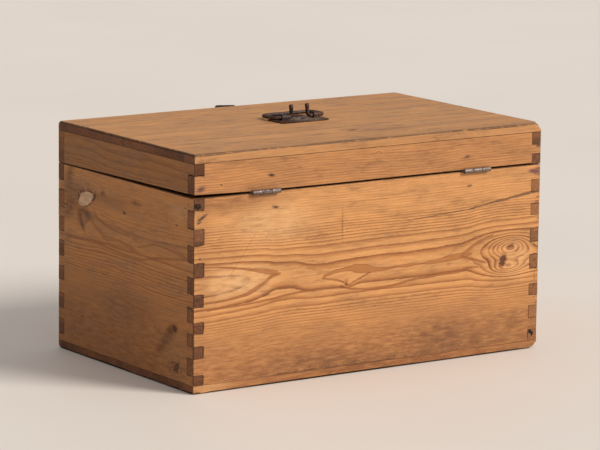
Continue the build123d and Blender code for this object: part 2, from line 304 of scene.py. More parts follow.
class Pine:
    """Solid pine cut from a log: growth rings round a heart line that runs along the board.

    board: along, across, face = axis numbers; outer = the outer face's place; side = which way
    that face looks; heart = the heart line's place across the board, a number or (place along,
    place across) points; depth = its (place along, depth below the face) points. Each list of
    marks is read by the method that paints it.
    """

    def __init__(self, name, board):
        g = Graph(name)
        self.g = g
        board = {**PLAIN, **board}
        self.board = board
        self.axes = g.place()
        self.normals = g.facing()
        u, v = self.axes[board["along"]], self.axes[board["across"]]
        w = (board["outer"] - self.axes[board["face"]]) * board["side"]
        seed = board["seed"] * SEED_STEP
        self.point = u, v, w, seed
        self.fibre = g.cloud(u / 24.0, v / 0.60, w / 0.60)
        self.streak = g.cloud(u / 60.0 + seed, v / 2.1, w / 2.1, detail=4.0, spread=0.17)
        self.blotch = g.cloud(u / 90.0 + seed, v / 26.0, w / 26.0, detail=4.0, spread=0.17)
        self.mottle = g.cloud(u / 22.0, v / 5.0, w / 5.0, detail=4.0, roughness=0.65)
        self.fine = g.cloud(u / 5.0, v / 3.2, w / 3.2, detail=3.0)
        self.dents = []

    def marks(self, kind):
        """The board's marks of one kind; oval ones end with their strength."""
        return self.board.get(kind, ())

    def paint(self, share, colour):
        """Lays a colour over what is there; share 1 hides it."""
        self.colour = self.g.mix(share, self.colour, colour)

    def grow_rings(self):
        """Finds late, the share of late wood, and line, the dark edge of each ring."""
        g, board = self.g, self.board
        u, v, w, seed = self.point
        wild = board["wild"]
        wander = (g.noise(u / 170.0 + seed, v / 55.0, w / 40.0, detail=1.0) - 0.5) * (9.0 * wild)
        ripple = (g.noise(u / 38.0 + seed, v / 8.0, w / 8.0, detail=2.0) - 0.5) * (3.4 * wild)
        ragged = (g.noise(u / 7.0 + seed, v / 2.4, w / 2.4, detail=2.0) - 0.5) * 1.3
        self.uneven = ripple + ragged
        heart = board["heart"]
        if isinstance(heart, list):
            usual = sum(height for _, height in heart) / len(heart)
            heart = (g.curve(u, heart) - usual) * g.hump(((v - usual) / 26.0) ** 2.0) + usual
        across = v - heart + wander
        depth = g.curve(u, board["depth"]) + w
        unsteady = g.smooth(g.size(across), 2.0, 14.0) * 0.8 + 0.2
        radius = g.root(across ** 2.0 + depth ** 2.0) + self.uneven * unsteady
        for knot in self.marks("knots"):
            radius = radius - g.hump(oval(u, v, knot)) * knot[5]
        phase = radius / board["ring"]
        phase = phase + g.most(radius - board["bend"], 0.0) * board["crowd"]
        ring = g.math("FRACT", phase)
        luck = g.chance(g.math("FLOOR", phase) + seed)
        fades = 1.0 - g.smooth(radius, 55.0, 95.0) * board["fade"]
        strong = (0.50 + luck * 0.50) * fades * board["contrast"]
        for calm in self.marks("quiet"):
            strong = strong * (1.0 - g.hump(oval(u, v, calm) ** 2.0) * calm[5])
        sharp = 1.0 - g.smooth(ring, 0.94, 1.0)
        steep = g.smooth(g.size(across) / depth, 0.18, 0.80) * 0.55 + 0.45
        self.late = g.smooth(ring, 0.30, 0.86) * sharp * strong * steep
        self.line = g.smooth(ring, 0.70, 0.92) * sharp * strong * steep

    def paint_grain(self):
        """Early and late wood, dark hairs along the grain and soiled patches."""
        g, board = self.g, self.board
        u, v, w, seed = self.point
        self.colour = g.mix(self.late * 0.92, board["early"], board["late"])
        self.paint(self.line * (0.35 + self.streak * 0.45), RING_LINE)
        tone = 0.67 + self.fibre * 0.12 + (self.streak + self.blotch) * 0.20 + self.mottle * 0.12
        self.colour = g.shade(self.colour, tone)
        hair = g.noise(u / 48.0 + seed, v / 1.1, w / 1.1, detail=3.0, roughness=0.7)
        self.paint(g.smooth(hair, 0.60, 0.74) * (0.16 + self.blotch * 0.30), SMOKE)
        smudge = g.cloud(u / 30.0 + seed, v / 7.0, w / 7.0, detail=5.0, roughness=0.7)
        soiled = g.smooth(smudge, 0.45, 0.05) * g.smooth(self.blotch, 0.75, 0.15)
        self.paint(soiled * board["soil"], SMOKE)

    def paint_stains(self, stains):
        """Soft ovals: (place, height, half length, half height, turn, strength, colour)."""
        u, v, _, _ = self.point
        for mark in stains:
            share = self.g.hump(oval(u, v, mark) ** 1.4) * mark[5] * (0.50 + self.mottle * 1.0)
            self.paint(self.g.least(share, 1.0), mark[6])

    def paint_bands(self):
        """Late wood cut flat by the saw: (place along, height, half width) points."""
        g = self.g
        u, v, w, _ = self.point
        for band in self.marks("bands"):
            middle = g.curve(u, [(a, b) for a, b, _ in band])
            half = g.curve(u, [(a, c) for a, _, c in band])
            off = g.size(v - middle + self.uneven * 0.7)
            low, high = band[0][0], band[-1][0]
            inside = g.smooth(u, low, low + 4.0) * g.smooth(u, high, high - 4.0)
            share = g.smooth(half - off, -0.9, 0.5) * inside * g.smooth(w, 9.0, 3.0)
            share = share * self.board["band_strength"]
            rim = g.smooth(g.size(half - off), 1.3, 0.2)
            self.paint(share * (0.58 + self.streak * 0.26), BAND)
            self.paint(rim * share * (0.25 + self.streak * 0.45), RING_LINE)

    def paint_grubby_areas(self):
        """Areas peppered with small dark specks."""
        g = self.g
        u, v, _, _ = self.point
        for mark in self.marks("grubby"):
            share = g.hump(oval(u, v, mark) ** 1.6) * g.smooth(self.fine, 0.60, 0.88) * mark[5]
            self.paint(share, GRIME)

    def paint_knots(self):
        """Dark cores with a resin rim."""
        g = self.g
        u, v, _, _ = self.point
        cores = []
        for knot in self.marks("cores"):
            uneven = oval(u, v, knot) + (self.mottle - 0.5) * 1.6
            core = g.smooth(uneven, 1.4, 0.5)
            self.paint(g.smooth(uneven, 3.6, 1.0) * knot[5] * 0.60, LATE_WOOD)
            self.paint(core * knot[5], KNOT)
            cores.append(core)
        self.dents.append((cores, 0.5))

    def paint_patches(self):
        """Pale filled patches with a dark outline."""
        g = self.g
        u, v, _, _ = self.point
        for patch in self.marks("patches"):
            uneven = oval(u, v, patch) + (self.mottle - 0.5) * 0.45
            outline = g.smooth(uneven, 1.9, 1.15) * (1.0 - g.smooth(uneven, 1.1, 0.9))
            self.paint(outline * g.smooth(self.mottle, 0.2, 0.7) * 0.80, KNOT)
            filler = g.shade(FILLER, 0.55 + self.fibre * 0.25 + self.mottle * 0.25)
            self.paint(g.smooth(uneven, 1.08, 0.94), filler)

    def paint_cracks(self):
        """Cracks and scratches: (start, end, half width at start, at end, darkness)."""
        g = self.g
        u, v, _, _ = self.point
        wobble = (g.noise(u / 11.0, v / 11.0, 3.0, detail=3.0) - 0.5) * 3.0
        grooves = []
        for start, stop, near, wide_end, dark in self.marks("cracks"):
            distance, share = line_distance(g, u, v + wobble, start, stop)
            half = (near + share * (wide_end - near)) * (0.45 + self.mottle * 1.1)
            cut = (1.0 - g.smooth(distance / half, 0.45, 1.30)) * dark
            self.paint(cut, CRACK)
            grooves.append(cut)
        self.dents.append((grooves, 1.6))

    def paint_end_grain(self):
        """Darker where the surface faces along the board, with pores; each finger has its own tone."""
        g, board = self.g, self.board
        u, v, w, seed = self.point
        self.end = g.smooth(g.size(self.normals[board["along"]]), 0.45, 0.85)
        pores = g.noise(u / 2.0, v / 0.5, w / 0.5, detail=2.0)
        finger = g.math("FLOOR", v / FINGER_PITCH) + g.math("FLOOR", u / HALF_BOARD) * 7.0
        mottle = g.cloud(u / 7.0, v / 4.5, w / 4.5)
        tone = 0.36 + pores * 0.34 + self.blotch * 0.12 + g.chance(finger + seed) * 0.66 + mottle * 0.50
        colour = g.mix(self.late * 0.60, board["end"], KNOT)
        self.paint(self.end, g.shade(colour, tone))
        # The board's tint; on the +X end boards it darkens them as painted shade.
        self.colour = g.shade_by(self.colour, board["tint"])

    def paint_voids(self):
        """Small hollows: (x, y, z, half size along each, strength)."""
        for mark in self.marks("spots"):
            offs = [(self.axes[k] - mark[k]) / mark[k + 3] for k in (X, Y, Z)]
            off = offs[X] ** 2.0 + offs[Y] ** 2.0 + offs[Z] ** 2.0
            self.paint(self.g.smooth(off + (self.fine - 0.5) * 0.9, 1.3, 0.6) * mark[6], VOID)

    def paint_pinholes(self):
        g = self.g
        u, v, w, seed = self.point
        near, luck = g.cells(u / 15.0 + seed, v / 13.0, w / 13.0)
        speck = (1.0 - g.smooth(near, 0.020, 0.055)) * g.smooth(luck, 0.72, 0.74)
        self.paint(speck * 0.85, GRIME)
        self.dents.append(([speck], 1.0))

    def paint_dirt_and_foot_shadow(self):
        """Dirt in the joints, darker faces where the lid closes, and a painted shadow along the foot, where the
        chest stands on the floor.
        """
        g = self.g
        u, v, w, _ = self.point
        height = self.axes[Z]
        patchy = g.smooth(g.noise(u / 14.0, v / 9.0, w / 9.0, detail=3.0), 0.24, 0.50)
        dirt = g.attribute("edge") * patchy
        if self.board["face"] != Z:
            # Darker on the faces at the seam, where the lid closes on the walls.
            closing = g.smooth(g.size(height - (SEAM / MM + 1.0)), 4.5, 3.2) * g.size(self.normals[Z])
            dirt = g.most(dirt, closing * 0.9)
            dirt = dirt * (0.35 + 0.65 * g.smooth(g.size(height - BOTTOM / MM), 1.0, 2.5))
        self.paint(dirt * self.board["edge_dirt"], GRIME)
        # Painted shadow: every side turns near-black in its lowest two millimetres, where the chest meets the
        # floor.
        sideways = g.smooth(g.size(self.normals[Z]), 0.96, 0.75)
        self.paint(g.smooth(height + (self.mottle - 0.5) * 0.6, 2.1, 1.1) * sideways, VOID)

    def finish(self):
        roughness = 0.48 + self.blotch * 0.18 - self.late * 0.10 + self.end * 0.18
        height = self.late * 0.40 + self.fibre * 0.34 + self.streak * 0.35 + self.mottle * 0.30
        for dents, depth in self.dents:
            if dents:
                height = height - reduce(self.g.most, dents) * depth
        return self.g.finish(self.colour, roughness, height, bump_mm=0.26, specular=0.26)


def pine(name, board):
    wood = Pine(name, board)
    wood.grow_rings()
    wood.paint_grain()
    # Pale patches: wood paled by wear, and on the back board also painted sheen where the sun glances across it.
    wood.paint_stains([mark + (PALE,) for mark in wood.marks("faded")])
    wood.paint_bands()
    wood.paint_stains(wood.marks("stains"))
    wood.paint_grubby_areas()
    wood.paint_knots()
    wood.paint_patches()
    wood.paint_cracks()
    wood.paint_end_grain()
    wood.paint_voids()
    wood.paint_pinholes()
    wood.paint_dirt_and_foot_shadow()
    return wood.finish()


def from_right(millimetres):
    """Place along X, counted from the chest's +X end."""
    return HALF_X / MM - millimetres


def from_front(millimetres):
    """Place along Y, counted from the chest's front."""
    return FRONT / MM + millimetres


MARK_LISTS = ("heart", "depth", "quiet", "faded", "grubby", "knots", "cores", "patches", "stains")


def place_marks(board, at):
    """Turns each mark's distance from the board's end into its place along the board, by at()."""
    def placed(marks):
        return [(at(mark[0]), *mark[1:]) for mark in marks]

    for kind, marks in board.items():
        if kind in MARK_LISTS:
            board[kind] = placed(marks)
        elif kind == "bands":
            board[kind] = [placed(band) for band in marks]
        elif kind == "cracks":
            board[kind] = [(*placed(crack[:2]), *crack[2:]) for crack in marks]
    return board


def open_joints(neighbour, place, seed):
    """Cracks at the back edge, where the neighbouring board's fingers have shrunk away."""
    luck = random.Random(seed)
    cracks = []
    for low, high in end_fingers(neighbour, Y, X, True):
        wide, dark = luck.uniform(0.3, 1.0), luck.uniform(0.45, 0.95)
        cracks.append(((place, low / MM + 1.5), (place, high / MM - 1.0), wide * 0.7, wide, dark))
    return cracks


def back_board():
    """The hinge side: a flat-sawn board with an island, a long band and a whorled knot."""
    return place_marks({
        "along": X, "across": Z, "face": Y, "outer": BACK / MM, "seed": 1, "wild": 0.55,
        "heart": [
            (600, 143), (534, 147), (485, 152), (455, 149), (400, 147), (350, 146.5), (300, 148),
            (250, 146.5), (215, 144), (180, 149), (142, 157), (90, 153), (0, 150),
        ],
        "depth": [
            (600, 6), (540, 7), (505, 14), (485, 20), (455, 26.2), (380, 27), (280, 27.4), (180, 27),
            (142, 26), (120, 21.5), (90, 16), (60, 11.5), (0, 6),
        ],
        "bands": [
            [(142, 158, 1), (128, 160, 3.4), (112, 163, 2.4), (88, 168, 1.3), (50, 174, 0.9),
             (16, 177, 0.6)],
            [(146, 157, 0.6), (130, 154, 2), (116, 146, 1.8), (100, 138, 3), (84, 132, 2.2),
             (50, 127.5, 1.1), (16, 127, 0.7)],
            [(480, 153, 0.5), (462, 151.5, 3.2), (446, 150.5, 4.4), (425, 148.5, 3.6), (402, 147, 2.4),
             (382, 147, 0.9), (362, 146.5, 2.2), (342, 146.5, 1.2), (322, 145.5, 2.4),
             (305, 146.5, 3.2), (292, 149, 6), (276, 150.5, 6.2), (264, 152, 3.6), (246, 151, 2.4),
             (228, 148, 2.2), (214, 143.5, 1.2)],
            [(298, 144, 0.8), (284, 138, 0.9), (268, 132, 0.8), (258, 128.5, 1.2), (252, 133, 1.2),
             (238, 138, 1.2), (224, 140.5, 1.2), (212, 143, 0.8)],
            [(518, 177, 0.6), (500, 173, 1), (484, 167, 1.6), (470, 158, 2.4), (456, 151, 2)],
            [(506, 136, 0.6), (490, 141, 1.4), (472, 146, 1.6), (456, 150, 2)],
            [(492, 132, 0.5), (470, 132.5, 1), (452, 128, 1.8), (430, 128.5, 2.2), (405, 126.5, 1.2),
             (375, 125.5, 1.2), (345, 121, 1.6), (310, 119, 1.4), (270, 122, 1.2), (235, 127, 1),
             (200, 127.5, 1.4), (165, 126, 1.2), (130, 122, 1.2), (90, 119, 1), (20, 116, 0.8)],
        ],
        "quiet": [
            (545, 148, 52, 34, 0, -0.75), (90, 150, 70, 30, 0, -0.35), (300, 52, 900, 42, 0, 0.50),
            (300, 254, 900, 28, 0, 0.40),
        ],
        # Pale patches on the back: lighter worn wood and painted sheen.
        "faded": [(130, 232, 66, 30, 0, 0.42), (70, 152, 56, 22, 0, 0.55), (560, 138, 30, 26, 0, 0.30)],
        "grubby": [
            (250, 15, 190, 4, 0, 0.35), (420, 18, 110, 6, 0, 0.25), (8, 254, 12, 18, 0, 0.35),
            (596, 150, 5, 120, 0, 0.8),
        ],
        "knots": [(548, 157, 30, 14, 0, 40), (544, 127, 30, 10, 0, 30), (256, 133, 13, 8, 0, 5.6)],
        "cores": [
            (534, 137, 5.2, 9, 12, 0.95), (549, 158, 5, 2.6, -20, 0.55), (560, 150, 5, 2.2, -35, 0.35),
            (256, 131.5, 2.4, 2.6, 0, 0.75), (250, 127, 5, 1.4, 15, 0.55),
        ],
        "stains": [
            (300, 18, 900, 66, 0, 0.72, DARK_PINE), (420, 40, 62, 22, 0, 0.50, SMOKE),
            (215, 24, 110, 15, 0, 0.42, SMOKE), (320, 10, 200, 10, 0, 0.40, SMOKE),
            (560, 46, 60, 18, 0, 0.32, SMOKE), (470, 22, 90, 12, 0, 0.35, SMOKE),
            (15, 150, 14, 140, 0, 0.25, DARK_PINE), (55, 266, 90, 17, 0, 0.60, DARK_PINE),
            (50, 264, 60, 8, 0, 0.14, SMOKE), (248, 218, 1.8, 22, 0, 0.42, SMOKE),
            (134, 251.5, 5.5, 2.2, 5, 0.85, RUST_STAIN), (471, 252.5, 4.5, 2, -5, 0.75, RUST_STAIN),
            (584, 24, 1.6, 7, 0, 1, VOID), (589, 264.5, 10, 3.2, 4, 1, BRUISE),
            (595, 263.5, 7, 6, 0, 1, BRUISE), (13, 246.5, 9, 2.2, -28, 1, RUST_STAIN),
            (9, 241, 5, 2, -30, 0.8, RUST_STAIN), (10, 190, 1.8, 1.6, 0, 0.75, RUST_STAIN),
            (596, 138, 3.5, 2.2, 0, 0.8, RUST_STAIN),
        ],
        "cracks": [
            ((361, 211), (480, 219), 0.35, 0.9, 0.70), ((470, 218.5), (600, 235.5), 0.8, 2.5, 0.72),
            ((60, 162), (103, 219), 0.50, 0.35, 0.34), ((118, 207), (127, 221), 0.4, 0.3, 0.34),
            ((110, 13.2), (340, 12.8), 0.35, 0.5, 0.45),
        ] + open_joints("right_end_panel", WALL / MM + 0.9, 5),
    }, from_right)


def right_end_board():
    """The +X end: a pale patch beside a knot, wavy grain, and a dark knot low down. Its tint is painted shade: the
    whole board is darkened and warmed because this end faces away from the sun.
    """
    return place_marks({
        "along": Y, "across": Z, "face": X, "outer": HALF_X / MM, "seed": 2, "wild": 1.25,
        # tint: painted shade on the end that faces away from the sun
        "tint": (0.735, 0.660, 0.570), "contrast": 0.78,
        "heart": [(0, 184), (100, 188), (208, 186), (300, 188), (365, 190)],
        "ring": 7, "bend": 32, "crowd": 0.10, "fade": 0.85,
        "depth": [(0, 20), (60, 22.6), (150, 23), (250, 23.2), (330, 22.8), (365, 20)],
        "quiet": [(210, 252, 330, 44, 0, 0.80), (180, 60, 330, 56, 0, 0.60)],
        "bands": [
            [(82, 208, 1.2), (95, 201, 2), (115, 191, 2.6), (132, 184, 3.4), (150, 185, 2.6),
             (168, 185.5, 1.4), (190, 182, 2.6), (214, 178, 1)],
            [(98, 213, 1), (118, 206, 1.4), (150, 199, 1.2), (200, 196, 0.8)],
            [(216, 183, 0.8), (240, 189, 1), (270, 194.5, 1.2), (305, 193.5, 1.2), (330, 191, 1.8),
             (350, 188, 0.8)],
            [(20, 168, 1), (90, 172, 1.4), (150, 170, 1), (215, 167, 1.2), (250, 173, 1.3),
             (290, 179, 1.2), (328, 184, 1.8), (350, 187.5, 0.8)],
        ],
        "knots": [(77, 229, 40, 24, 14, 22), (310, 84, 26, 15, 0, 14), (16, 214, 13, 12, 0, 9)],
        "cores": [
            (309, 82, 11, 5.5, 20, 0.60), (317, 85, 5, 5, 0, 0.95), (66, 197, 4.5, 12, 28, 0.60),
            (183, 227, 3.6, 1.6, 0, 0.9), (321, 231, 3.2, 1.3, 0, 0.8), (124, 246, 6, 3.2, 20, 0.45),
            (100, 237, 3, 6, -35, 0.8), (64, 241, 3.4, 2, 0, 0.8), (68, 58, 3, 2, 0, 0.5),
        ],
        "patches": [(77, 232, 20.5, 10, 20)],
        "stains": [
            (288, 60, 27, 8, 48, 0.95, SMOKE), (274, 74, 8, 3, -20, 0.5, SMOKE),
            (264, 78, 5, 2.2, 30, 0.5, SMOKE), (150, 86, 3, 2, 0, 0.5, GRIME),
            (182, 74, 2.5, 1.8, 0, 0.5, GRIME), (88, 238, 3.5, 2.5, 30, 0.9, GRIME),
            (70, 244, 4, 2.2, -30, 0.9, GRIME), (104, 241, 3, 3, 0, 0.8, GRIME),
            (57, 236, 4, 3, 0, 0.6, GRIME), (215, 246, 14, 4, 0, 0.75, SMOKE),
            (25, 205, 24, 12, 0, 0.45, SMOKE), (30, 258, 22, 10, 60, 0.6, SMOKE),
            (36, 232, 30, 20, 20, 0.60, SMOKE), (75, 212, 30, 7, -12, 0.70, SMOKE),
            (150, 238, 60, 10, 0, 0.35, SMOKE), (322, 31, 8, 4.6, 35, 2.2, VOID),
            (300, 66, 20, 9, 40, 0.55, SMOKE), (312, 36, 3, 2, -40, 0.9, GRIME),
            (324, 25, 3, 2, 20, 0.8, GRIME), (180, 36, 900, 76, 0, 0.60, DARK_PINE),
            (190, 96, 70, 22, 0, 0.35, SMOKE),
        ],
        "faded": [(330, 250, 30, 12, 0, 0.35), (320, 40, 44, 36, 0, 0.45)],
        "grubby": [
            (78, 243, 40, 14, 0, 0.75), (320, 32, 24, 13, 0, 0.8), (20, 212, 22, 12, 0, 0.7),
            (345, 252, 16, 14, 0, 0.4),
        ],
        "band_strength": 0.62,
        "cracks": [((300, 16), (340, 20), 0.3, 0.4, 0.5)],
        "spots": [(from_right(6), BACK / MM, 263, 6, 4, 4, 0.95)],
        "end": (0.182, 0.078, 0.036),
    }, from_front)


def plain_board(along, across, face, outer, side, seed, heart=None, **extra):
    """A board with no marks of its own: its heart line and its rings come from the seed."""
    luck = random.Random(seed)
    reach = HALF_X / MM if along == X else BACK / MM
    base = luck.uniform(20.0, 32.0)
    points = []
    for step in range(6):
        points.append((-reach + 2 * reach * step / 5, base + luck.uniform(-6.0, 6.0)))
    board = {
        "along": along, "across": across, "face": face, "outer": outer, "side": side, "seed": seed,
        "heart": heart if heart is not None else luck.uniform(60.0, 220.0), "depth": points,
    }
    board.update(place_marks(extra, from_right if along == X else from_front))
    return board


def lid_top_board(seed, heart, **marks):
    """One of the lid's two boards: softer rings and more soiled than the walls."""
    return plain_board(
        X, Y, Z, HEIGHT / MM, 1, seed, heart, ring=11.0, fade=0.8, wild=1.4, contrast=0.72, soil=0.48,
        tint=(0.95, 0.91, 0.91), early=(0.580, 0.292, 0.112), late=(0.420, 0.175, 0.055),
        end=(0.150, 0.058, 0.024), **marks)


def board_materials():
    """Every board's wood, by CAD node. A mark's place is counted from the +X end or the front."""
    long_x = (X, Z, Y)
    return {
        "back_panel": back_board(),
        "right_end_panel": right_end_board(),
        "front_panel": plain_board(
            *long_x, FRONT / MM, -1, 3, 120, contrast=0.80,
            knots=[(190, 170, 26, 15, 0, 13), (430, 92, 18, 10, 0, 9)],
            cores=[(190, 170, 6, 5, 0, 0.8), (430, 92, 4, 3, 0, 0.7)],
            stains=[(288, 232, 20, 30, 0, 0.35, SMOKE)]),
        "left_end_panel": plain_board(
            Y, Z, X, -HALF_X / MM, -1, 4, 150, contrast=0.80,
            knots=[(212.5, 190, 24, 14, 0, 12)],
            cores=[(212.5, 190, 5, 4.5, 0, 0.8)], end=(0.225, 0.094, 0.036),
            spots=[(from_right(587.5), BACK / MM, 26.5, 2.8, 4, 4, 1),
                   (from_right(591), BACK / MM, 22.5, 2.6, 4, 3.2, 1)]),
        "bottom_board_rear": plain_board(
            X, Y, Z, 0, -1, 5, 90, contrast=0.7, tint=(0.84, 0.80, 0.78), edge_dirt=0.30,
            stains=[(340, 182, 270, 40, 0, 0.85, DARK_PINE), (30, 182, 26, 30, 0, 0.4, PALE),
                    (0, 118, 2, 1.8, 0, 1, VOID), (0, 124, 2, 2.2, 0, 1, PALE)]),
        "bottom_board_front": plain_board(X, Y, Z, 0, -1, 6, -80, contrast=0.7, tint=(0.80, 0.74, 0.68)),
        "lid_board_rear": lid_top_board(7, 96, stains=[
            (319, 103, 9, 3.5, 8, 0.95, RUST_STAIN), (376, 118, 40, 10, 4, 0.40, SMOKE),
            (300, 178, 330, 7, 0, 0.35, SMOKE)]),
        "lid_board_front": lid_top_board(8, -104, stains=[
            (312, -16, 9, 9, 0, 1, VOID), (308, -18, 62, 34, 0, 0.35, SMOKE),
            (319, -76, 7, 3, 0, 0.9, RUST_STAIN)]),
        "lid_back_rim": plain_board(
            *long_x, BACK / MM, 1, 9, 190, contrast=0.52, fade=0.2, tint=(0.80, 0.76, 0.77),
            knots=[(308, 318, 9, 5, 0, 4)],
            stains=[(127, 297, 5.5, 2.4, 10, 0.95, RUST_STAIN),
                    (465, 295, 5, 2.2, -8, 0.95, RUST_STAIN),
                    (44, 290, 1.8, 1.6, 0, 0.7, RUST_STAIN),
                    (11, 286.5, 7, 3.8, -20, 1, BRUISE),
                    (595, 303, 5, 3.6, 0, 1, BRUISE)]),
        "lid_front_rim": plain_board(*long_x, FRONT / MM, -1, 10, 330, contrast=0.65),
        # The +X rim's tint darkens it as painted shade, like the +X end board.
        "lid_right_rim": plain_board(
            Y, Z, X, HALF_X / MM, 1, 11, 330, contrast=0.45, tint=(0.50, 0.435, 0.35)),
        "lid_left_rim": plain_board(Y, Z, X, -HALF_X / MM, -1, 12, 262, contrast=0.65),
    }


# ---- Board shapes ----
GRID_STEP = 11.0 * MM
WORN_EDGE = 3.2 * MM
JOINT_EDGE = 0.30 * MM
NEAR = 0.2 * MM
TOUCH = 0.01 * MM
LOWEST_FINGER = 3.0 * MM
CORNER_STEPS = [step * MM for step in (2.0, 4.0, 6.0, 8.0, 10.5, 13.0)]
LAYER_STEP = 2.3 * MM
FLAT_BOARD = 20.0 * MM
WORN_CORNER = Vector((5.0, 5.0, 5.0)) * MM
KNOCKED_TOP_CORNER = Vector((13.0, 16.0, 10.5)) * MM
KNOCKED_FOOT_CORNER = Vector((15.0, 13.0, 10.0)) * MM
CORNER_SOFTNESS = 0.28
SEAM_GAPE = 2.9 * MM


def end_fingers(node, axis, thick, at_high_end):
    """(low, high) heights of the fingers with which a CAD board reaches one of its ends.

    Only the corners of its outer face count, not the rims of the nail holes.
    """
    low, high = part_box(node)
    edge = high[axis] if at_high_end else low[axis]
    outer = high[thick] if high[thick] > 0 else low[thick]
    corners = [vert.co for vert in frame["nodes"][node].data.vertices
               if abs(vert.co[axis] - edge) < TOUCH and abs(vert.co[thick] - outer) < TOUCH]
    heights = sorted({round(corner.z, 5) for corner in corners})
    if heights[0] - low.z < LOWEST_FINGER:
        heights[0] = round(low.z, 5)
    return list(zip(heights[0::2], heights[1::2]))


def grid_lines(cuts, step):
    """The cuts, with enough even lines between them that no gap is over step."""
    lines = []
    cuts = sorted(cuts)
    for low, high in zip(cuts, cuts[1:]):
        count = max(1, math.ceil((high - low) / step))
        lines += [low + (high - low) * k / count for k in range(count)]
    return lines + [cuts[-1]]


def exposure(point):
    """How many of the chest's outer faces and lid seam faces a point lies on."""
    planes = (
        abs(abs(point.x) - HALF_X) < NEAR,
        abs(abs(point.y) - BACK) < NEAR,
        abs(point.z) < NEAR or abs(point.z - HEIGHT) < NEAR,
        -NEAR < point.z - SEAM < 3.0 * MM,
    )
    return sum(planes)


def edge_radius(point):
    """How far an edge is worn round: most on the chest's outer edges, hardly at all in the joints."""
    if exposure(point) < 2:
        return JOINT_EDGE * (1.8 + 1.6 * noise.noise(point * 70.0))
    base = 1.1 * MM
    if point.z > HEIGHT - NEAR:
        base = 2.2 * MM
    elif point.z < NEAR:
        base = 2.6 * MM
    rough = 1.0 + 0.9 * noise.noise(point * 28.0) + 0.6 * noise.noise(point * 90.0)
    return min(WORN_EDGE, max(JOINT_EDGE, base * rough))


def grid_solid(axes, lines_u, lines_v, layers, holds):
    """A plate made of the grid's cells whose middle (u, v) holds: bmesh.

    axes: the axis numbers of the grid's two directions and of the plate's thickness;
    layers: places through the thickness.
    """
    last = len(layers) - 1
    along, across, thick = axes
    bm = bmesh.new()
    made = {}
    cells = set()
    for i, (low_u, high_u) in enumerate(zip(lines_u, lines_u[1:])):
        for j, (low_v, high_v) in enumerate(zip(lines_v, lines_v[1:])):
            if holds((low_u + high_u) / 2, (low_v + high_v) / 2):
                cells.add((i, j))

    def corner(i, j, k):
        if (i, j, k) not in made:
            place = [0.0, 0.0, 0.0]
            place[along] = lines_u[i]
            place[across] = lines_v[j]
            place[thick] = layers[k]
            made[(i, j, k)] = bm.verts.new(place)
        return made[(i, j, k)]

    for i, j in sorted(cells):
        for k in (0, last):
            square = ((i, j), (i + 1, j), (i + 1, j + 1), (i, j + 1))
            bm.faces.new([corner(*place, k) for place in square])
        sides = (
            ((i - 1, j), (i, j), (i, j + 1)),
            ((i + 1, j), (i + 1, j), (i + 1, j + 1)),
            ((i, j - 1), (i, j), (i + 1, j)),
            ((i, j + 1), (i, j + 1), (i + 1, j + 1)),
        )
        for neighbour, a, b in sides:
            if neighbour not in cells:
                for k in range(last):
                    bm.faces.new([corner(*a, k), corner(*b, k), corner(*b, k + 1), corner(*a, k + 1)])
    bmesh.ops.recalc_face_normals(bm, faces=bm.faces)
    return bm


def board_grid(node, along):
    """A board as a grid of quads with its finger notches, from the CAD node's box and fingers: bmesh."""
    low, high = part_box(node)
    flat_board = high.z - low.z < FLAT_BOARD
    across = Y if flat_board else Z
    thick = Z if flat_board else (Y if along == X else X)
    cuts_u = [low[along], high[along]]
    cuts_v = [low[across], high[across]]
    layers = [low[thick], high[thick]]
    if flat_board:
        cuts_u += [place for step in CORNER_STEPS for place in (low[along] + step, high[along] - step)]
        cuts_v += [high[across] - step for step in CORNER_STEPS]
        layers = grid_lines(layers, LAYER_STEP)
    else:
        low_fingers, high_fingers = (end_fingers(node, along, thick, at_high) for at_high in (False, True))
        cuts_u += [low[along] + WALL, high[along] - WALL]
        cuts_v += [z for span in low_fingers + high_fingers for z in span]
        cuts_v = sorted({round(z, 5) for z in cuts_v})

    def holds(u, v):
        if flat_board or low[along] + WALL < u < high[along] - WALL:
            return True
        fingers = low_fingers if u < low[along] + WALL else high_fingers
        return any(a < v < b for a, b in fingers)

    lines_u, lines_v = grid_lines(cuts_u, GRID_STEP), grid_lines(cuts_v, GRID_STEP)
    return grid_solid((along, across, thick), lines_u, lines_v, layers, holds)


def rim_underside(node, place):
    """Height of a lid rim's lower edge. The gap gapes at the back's +X corner and closes to the front."""
    front_z, back_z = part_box("lid_front_rim")[0].z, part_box("lid_back_rim")[0].z
    if node == "lid_back_rim":
        corner = max(0.0, (place.x - HALF_X * 0.66) / (HALF_X * 0.34))
        return back_z - 0.4 * MM + SEAM_GAPE * corner
    share = (place.y - FRONT) / (BACK - FRONT)
    closed = 2.5 * MM if node == "lid_right_rim" else -1.9 * MM
    return front_z + (back_z + closed - front_z) * share


def shape_lower_edge(bm, node):
    """Stretches a lid rim so that its lower edge follows the uneven seam."""
    low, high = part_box(node)
    for vert in bm.verts:
        share = (high.z - vert.co.z) / (high.z - low.z)
        vert.co.z = high.z - share * (high.z - rim_underside(node, vert.co))


def round_corner(point):
    """The chest's corners are knocked off, most of all the two -X ones at the back."""
    on_lid = point.z > SEAM
    size = WORN_CORNER
    if point.x < 0 < point.y:
        size = KNOCKED_TOP_CORNER if on_lid else KNOCKED_FOOT_CORNER
    outward = [math.copysign(1.0, value) for value in (point.x, point.y, point.z - SEAM)]
    corner = (HALF_X * outward[X], BACK * outward[Y], HEIGHT if on_lid else 0.0)
    arm = [1.0 + (point[k] - corner[k]) * outward[k] / size[k] for k in range(3)]
    excess = sum(arm) - 2.0
    if min(arm) < 0 or excess < 0:
        return point
    shift = excess * (1.0 - CORNER_SOFTNESS * excess) / 3
    return Vector([point[k] - shift * size[k] * outward[k] for k in range(3)])


